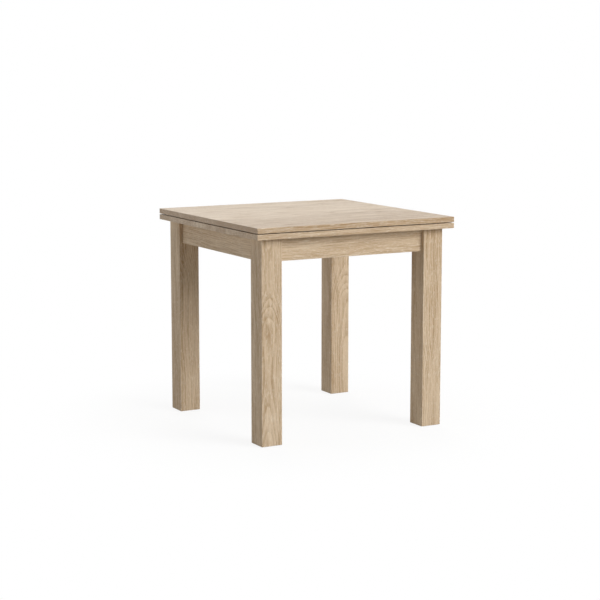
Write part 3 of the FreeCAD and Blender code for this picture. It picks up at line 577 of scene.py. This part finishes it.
def threaded(radii, heights, angle, pitch, depth, low, high):
    # a ridge wound round the shank: the radius drops by a triangle wave of (z / pitch - t / turn),
    # fading to nothing at both ends of the thread
    wave = np.abs(2 * ((heights / pitch - angle / (2 * np.pi)) % 1) - 1)
    fade = np.clip((heights - low) / pitch, 0, 1) * np.clip((high - heights) / pitch, 0, 1)
    return radii - depth * wave * fade


rowsPerTurn = 6  # rows of points for each turn of a screw's or a bolt's thread
down, up = (0, 0, -1), (0, 0, 1)
corners = [(sx, sy) for sx in (-1, 1) for sy in (-1, 1)]

# Wood screws, in millimetres: point, threaded shank, head, and a cross recess sunk in the head.
hingeScrew = {"shank": 1.75, "head": 3.5, "length": 14.0, "rise": 0.0, "pitch": 1.4, "columns": 40}
plateScrew = {"shank": 2.0, "head": 3.8, "length": 14.0, "rise": 0.0, "pitch": 1.6, "columns": 40}
blockScrew = {"shank": 2.0, "head": 4.0, "length": 25.0, "rise": 2.6, "pitch": 1.8, "columns": 36}
screwTip = (0.55, 0.5)  # a point on the tip's flank, out and up, as shares of the shank's radius
screwThread = 0.22      # depth, as a share of the shank's radius
threadFree = 0.5        # plain shank left under the head
crownFoot = 0.55        # a raised crown is part of a half ellipse with its foot at this share of the rise
crownSpan = 0.92        # the share of the half ellipse's width that the crown takes up
headRows = 22
crossRecess = {             # shares of the head's radius
    "arm": 0.17,            # half an arm's width, and the slope of its sides
    "armSlope": 0.05,
    "reach": 0.60,          # from the middle to an arm's end, and the slope there
    "reachSlope": 0.12,
    "depth": 0.32,
    "taper": 1.15,          # the depth is multiplied by this in the middle and shrinks outwards
}


def screwForm(look):
    # rows: from the tip up the shank, out to the rim of the head and in across the top;
    # z = 0 is the face that the head is seated in or on
    shank, head, rise, length = look["shank"], look["head"], look["rise"], look["length"]
    sunk = 0.0 if rise else head - shank  # a countersunk head's cone stands at 45 degrees
    shankRows = int(rowsPerTurn * length / look["pitch"])
    stem = np.linspace(-length + shank, -sunk, shankRows)
    rim = [[head, 0.0]] if rise else []
    inward = np.linspace(1, 0, headRows)
    dome = rise * (crownFoot + (1 - crownFoot) * np.sqrt(1 - (crownSpan * inward) ** 2))
    profile = np.concatenate((
        [[0.0, -length], [shank * screwTip[0], -length + shank * screwTip[1]]],
        np.stack((np.full(shankRows, shank), stem), axis=1),
        np.reshape(rim, (-1, 2)),
        np.stack((head * inward, dome), axis=1),
    ))
    radii, heights, angle = around(profile, look["columns"])
    depth = screwThread * shank
    radii = threaded(radii, heights, angle, look["pitch"], depth, -length + shank, -sunk - threadFree)
    # cross recess: deep where the point lies near either arm and inside the arms' reach
    cut = crossRecess
    onTop = (np.arange(len(profile)) >= len(profile) - headRows)[:, None]
    fromArm = np.minimum(np.abs(radii * np.cos(angle)), np.abs(radii * np.sin(angle)))
    arm = np.clip((cut["arm"] * head - fromArm) / (cut["armSlope"] * head), 0, 1)
    reach = np.clip((cut["reach"] * head - radii) / (cut["reachSlope"] * head), 0, 1)
    heights = heights - onTop * arm * reach * cut["depth"] * head * (cut["taper"] - radii / head)
    return asPoints(radii, heights, angle)


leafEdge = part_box("lower_leaf")[1].x
hingeSpots = (-300, 0, 300)
screwSpots = ((-13, 9), (-13, -9), (-29, 0))  # from the hinged edge, and from the plate's middle


def hingeScrews(level, height, direction):
    spots = [
        ((leafEdge + x * millimetre, (y + spread) * millimetre, height), direction)
        for y in hingeSpots
        for x, spread in screwSpots
    ]
    name = level + "_hinge_screws"
    skin(name + "_cross", setOut(screwForm(hingeScrew), spots), brass, level + "_top", name)


hingeScrews("lower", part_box("lower_leaf")[1].z, up)
hingeScrews("upper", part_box("upper_leaf")[0].z, down)

pivot = middle("pivot_stud")
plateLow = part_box("swivel_plate")[0].z
plateCircle = 42 * millimetre
plateAngles = np.radians((135, 195, 255, 315))
plateSpots = [
    ((pivot.x + plateCircle * math.cos(angle), pivot.y + plateCircle * math.sin(angle), plateLow), down)
    for angle in plateAngles
]
skin(
    "swivel_plate_screws_cross", setOut(screwForm(plateScrew), plateSpots),
    zinc, "lower_top", "swivel_plate_screws",
)

blockLow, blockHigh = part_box("corner_block_screws")
# from one middle line of the table to the heads' seats, and from the other to the screws
blockSeat = blockHigh.x - blockScrew["length"] * millimetre
blockLine = 241.37 * millimetre
blockHead = blockScrew["head"] * millimetre
blockSpots = [
    spot
    for sx, sy in corners
    for z in (blockLow.z + blockHead, blockHigh.z - blockHead)
    for spot in (
        ((sx * blockSeat, sy * blockLine, z), (-sx, 0, 0)),
        ((sx * blockLine, sy * blockSeat, z), (0, -sy, 0)),
    )
]
skin(
    "corner_block_screws_cross", setOut(screwForm(blockScrew), blockSpots),
    zinc, "base_frame", "corner_block_screws",
)


# Hanger bolts, in millimetres: coarse wood thread in the leg, fine thread through the block and nut.
hangerBolt = {
    "radius": 4.0,
    "coarse": 3.0,       # pitches of the two threads, and how deep they are cut
    "fine": 1.25,
    "coarseDepth": 0.9,
    "fineDepth": 0.65,
    "fineShare": 0.52,   # of the length
    "fineFree": 0.6,     # plain end at the tail
    "bevel": 1.0,
    "columns": 24,
}


def boltForm(look, length):
    # rows: from the point in the leg to the bevelled tail; z = 0 is the tail's end
    radius, bevel = look["radius"], look["bevel"]
    point = -length + 2 * radius
    border = -look["fineShare"] * length  # between the threads
    stem = np.linspace(point, -bevel, int(rowsPerTurn * length / look["fine"]))
    profile = np.concatenate((
        [[0.0, -length], [radius * 0.5, -length + radius]],
        np.stack((np.full(len(stem), radius), stem), axis=1),
        [[radius - bevel, 0.0], [0.0, 0.0]],
    ))
    radii, heights, angle = around(profile, look["columns"])
    radii = threaded(radii, heights, angle, look["coarse"], look["coarseDepth"], point, border)
    radii = threaded(radii, heights, angle, look["fine"], look["fineDepth"], border, -look["fineFree"])
    return asPoints(radii, heights, angle)


boltLow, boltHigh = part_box("hanger_bolts")
boltTail = 266.47 * millimetre  # from both middle lines to the bolts' tails
boltLength = math.sqrt(2) * (boltHigh.x - boltTail) / millimetre
boltRadius = hangerBolt["radius"] * millimetre
boltSpots = [
    ((sx * boltTail, sy * boltTail, z), (-sx, -sy, 0))
    for sx, sy in corners
    for z in (boltLow.z + boltRadius, boltHigh.z - boltRadius)
]
skin(
    "hanger_bolts_threaded", setOut(boltForm(hangerBolt, boltLength), boltSpots),
    zinc, "base_frame", "hanger_bolts",
)

# Pivot stud, in millimetres: plain bearing length under the plate, thread for the lock nut below.
pivotStud = {
    "radius": 6.0,
    "spigot": 5.0,
    "spigotLength": 3.0,
    "bevel": 1.2,
    "thread": 19.0,
    "threadDepth": 0.95,
    "pitch": 1.75,
    "rows": 150,
    "columns": 48,
}


def studForm(look, length):
    # rows: from the bevelled lower end up the thread, the plain length and the spigot
    radius, spigot = look["radius"], look["spigot"]
    shoulder = length - look["spigotLength"]
    stem = np.linspace(look["bevel"], shoulder, look["rows"])
    profile = np.concatenate((
        [[0.0, 0.0], [radius - look["bevel"], 0.0]],
        np.stack((np.full(len(stem), radius), stem), axis=1),
        [[spigot, shoulder], [spigot, length], [0.0, length]],
    ))
    radii, heights, angle = around(profile, look["columns"])
    radii = threaded(radii, heights, angle, look["pitch"], look["threadDepth"], 0.0, look["thread"])
    return asPoints(radii, heights, angle)


studLow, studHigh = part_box("pivot_stud")
studLength = (studHigh.z - studLow.z) / millimetre
skin(
    "pivot_stud_threaded", setOut(studForm(pivotStud, studLength), [((pivot.x, pivot.y, studLow.z), up)]),
    zinc, "lower_top", "pivot_stud",
)

# Felt strips, in millimetres: soft-edged bars, roughened by small seeded bumps.
feltStrip = {
    "length": 160.0,
    "width": 14.0,
    "thickness": 1.8,
    "offset": 160.0,  # from the apron's middle to the strip's
    "power": 0.22,
    "fuzz": 0.05,
    "seed": 7,
    "rows": 90,
    "columns": 72,
    "crease": 80,
}


def stripForm(look):
    # superellipsoid: x = a S(v), y = b C(v) C(u), z = c C(v) S(u), where C and S are cosine and sine
    # raised to a low power
    v = np.linspace(-np.pi / 2, np.pi / 2, look["rows"])[:, None]
    u = np.linspace(0, 2 * np.pi, look["columns"], endpoint=False)[None, :]

    def soft(value):
        return np.sign(value) * np.abs(value) ** look["power"]

    draws = np.random.default_rng(look["seed"])
    bumps = draws.uniform(-1, 0, (look["rows"], look["columns"])) * look["fuzz"]
    girth = soft(np.cos(v)) * (np.abs(np.cos(v)) > 1e-9)  # nothing at the two poles
    long = look["length"] / 2 * soft(np.sin(v)) * np.ones_like(u)
    wide = (look["width"] / 2 + bumps) * girth * soft(np.cos(u))
    tall = (look["thickness"] / 2 + bumps) * girth * soft(np.sin(u))
    return np.stack((long, wide, tall), axis=-1) * millimetre


def quarterTurn(form):
    # (x, y, z) to (-y, x, z)
    return np.stack((-form[..., 1], form[..., 0], form[..., 2]), axis=-1)


stripHeight = middle("glide_strips").z
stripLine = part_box("glide_strips")[1].x - feltStrip["width"] / 2 * millimetre
stripOffset = feltStrip["offset"] * millimetre
placesX = np.array([(sx * stripOffset, sy * stripLine, stripHeight) for sx, sy in corners])
placesY = np.array([(sx * stripLine, sy * stripOffset, stripHeight) for sx, sy in corners])
stripX = stripForm(feltStrip)
strips = np.concatenate((
    stripX[None] + placesX[:, None, None, :],
    quarterTurn(stripX)[None] + placesY[:, None, None, :],
))
skin("felt_strips", strips, feltMaterial, "base_frame", "glide_strips", feltStrip["crease"])

# Clear bumpers, in millimetres: low domes stuck under the upper leaf.
clearBumper = {"radius": 4.0, "power": 0.6, "rows": 20, "columns": 48}


def bumperForm(look, height):
    # rows: from the dome's crown, a quarter of a superellipse, out to the rim and back along the stuck face
    t = np.linspace(0, np.pi / 2, look["rows"])
    out, drop = np.sin(t) ** look["power"], np.cos(t) ** look["power"]
    dome = np.stack((look["radius"] * out, -height * drop), axis=1)
    return asPoints(*around(np.concatenate((dome, [[0.0, 0.0]])), look["columns"]))


bumperLow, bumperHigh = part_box("leaf_bumpers")
bumperHeight = (bumperHigh.z - bumperLow.z) / millimetre
bumperLine = bumperHigh.x - clearBumper["radius"] * millimetre
bumperSpots = [((sx * bumperLine, sy * bumperLine, bumperHigh.z), up) for sx, sy in corners]
skin(
    "leaf_bumpers_domed", setOut(bumperForm(clearBumper, bumperHeight), bumperSpots),
    silicone, "upper_top", "leaf_bumpers",
)


# Studio: white floor that keeps a faint shadow near the table, white surroundings, four broad lamps.
studio = {
    "white": "#ffffff",
    "floorSize": 60.0,
    "floorBounce": "#b8b4ae",   # the floor's colour in the light that it throws back
    "floorMatt": 0.9,
    "shadowShare": 0.12,        # how much of the floor's look is lit, so shadowed; the rest is plain white
    "shadowReach": (0.45, 1.05),  # that share fades out between these distances from the table's middle
    "fill": 0.14,
    "eyeLevel": 0.25,           # sine of the height where the mirrored surroundings start to dim
    "dimming": 0.85,
    "aim": 0.4,                 # height that the lamps point at
}
lamps = {
    "front": {"azimuth": 30, "height": 28, "distance": 12.0, "size": 8.0, "power": 1265},
    "side": {"azimuth": -110, "height": 6, "distance": 12.0, "size": 8.0, "power": 360},
    "back": {"azimuth": 160, "height": 30, "distance": 12.0, "size": 8.0, "power": 480},
    "above": {"azimuth": 0, "height": 90, "distance": 8.0, "size": 8.0, "power": 180},
}


def floorFinish():
    white = Finish("floor_white")
    seen = white.rayIs("Camera", "Glossy", "Transmission")
    colour = white.mix(tint(studio["floorBounce"]), tint(studio["white"]), seen)
    white.fill({"Base Color": colour, "Roughness": studio["floorMatt"], "Specular IOR Level": 0.0})
    distance = white.add("VectorMath", {"operation": "LENGTH"}, {"Vector": white.coords}, "Value")
    lit = studio["shadowShare"] * (1 - white.step(distance, *studio["shadowReach"]))
    painted = Wire(white.tree, white.shader.outputs["BSDF"])
    glow = white.add("Emission", {}, {}, "Emission")
    shown = white.mixShaders(painted, glow, seen * (1 - lit))
    # seen from below, the floor lets the view through
    clear = white.add("BsdfTransparent", {}, {}, "BSDF")
    shown = white.mixShaders(shown, clear, white.add("NewGeometry", {}, {}, "Backfacing"))
    feed(white.tree, white.tree.nodes["Material Output"].inputs["Surface"], shown)
    return white.material


def makeFloor():
    half = studio["floorSize"] / 2
    mesh = bpy.data.meshes.new("floor")
    square = [(-half, -half, 0), (half, -half, 0), (half, half, 0), (-half, half, 0)]
    mesh.from_pydata(square, [], [(0, 1, 2, 3)])
    mesh.materials.append(floorFinish())
    floor = bpy.data.objects.new("floor", mesh)
    bpy.context.scene.collection.objects.link(floor)


def makeSurroundings():
    # white to the camera; mirrored, white at eye level and dimmer overhead; a low fill for all else
    world = bpy.data.worlds.new("studio")
    world.use_nodes = True
    sky = Nodes(world.node_tree)
    height = sky.split(sky.add("TexCoord", {}, {}, "Generated"))[2]
    overhead = (height - studio["eyeLevel"]).larger(0.0)
    mirrored = sky.rayIs("Glossy") * (1 - studio["dimming"] * overhead)
    strength = sky.rayIs("Camera", "Transmission").larger(mirrored).larger(studio["fill"])
    background = world.node_tree.nodes["Background"].inputs
    feed(sky.tree, background["Color"], tint(studio["white"]))
    feed(sky.tree, background["Strength"], strength)
    bpy.context.scene.world = world


def makeLamp(name, look):
    lamp = bpy.data.lights.new(name + "_lamp", "AREA")
    lamp.shape = "DISK"
    lamp.size = look["size"]
    lamp.energy = look["power"]
    holder = bpy.data.objects.new(name + "_lamp", lamp)
    bpy.context.scene.collection.objects.link(holder)
    azimuth, height = (math.radians(look[key]) for key in ("azimuth", "height"))
    away = Matrix.Rotation(azimuth, 3, "Z") @ Matrix.Rotation(math.pi / 2 - height, 3, "X")
    holder.matrix_world = away.to_4x4()
    holder.location = away.col[2] * look["distance"]
    holder.location.z += studio["aim"]
    holder.visible_glossy = False  # polished faces mirror the white surroundings, not the lamp


makeFloor()
makeSurroundings()
for lampName, values in lamps.items():
    makeLamp(lampName, values)

# Camera at the photograph's angle; the frame is square, so the sensor's width is also its height.
view = {
    "lens": 100.667,
    "sensor": 36,
    "azimuth": -29.075,
    "tilt": 8.727,
    "place": (-3.0121, -5.3929, 1.3908),
    "farthest": 200,
}
camera = bpy.data.objects.new("camera", bpy.data.cameras.new("camera"))
camera.data.lens = view["lens"]
camera.data.sensor_width = view["sensor"]
camera.data.clip_end = view["farthest"]
camera.location = view["place"]
camera.rotation_euler = (math.radians(90 - view["tilt"]), 0, math.radians(view["azimuth"]))
bpy.context.scene.collection.objects.link(camera)
bpy.context.scene.camera = camera
bpy.context.scene.view_settings.view_transform = "Standard"
print("studio ready")
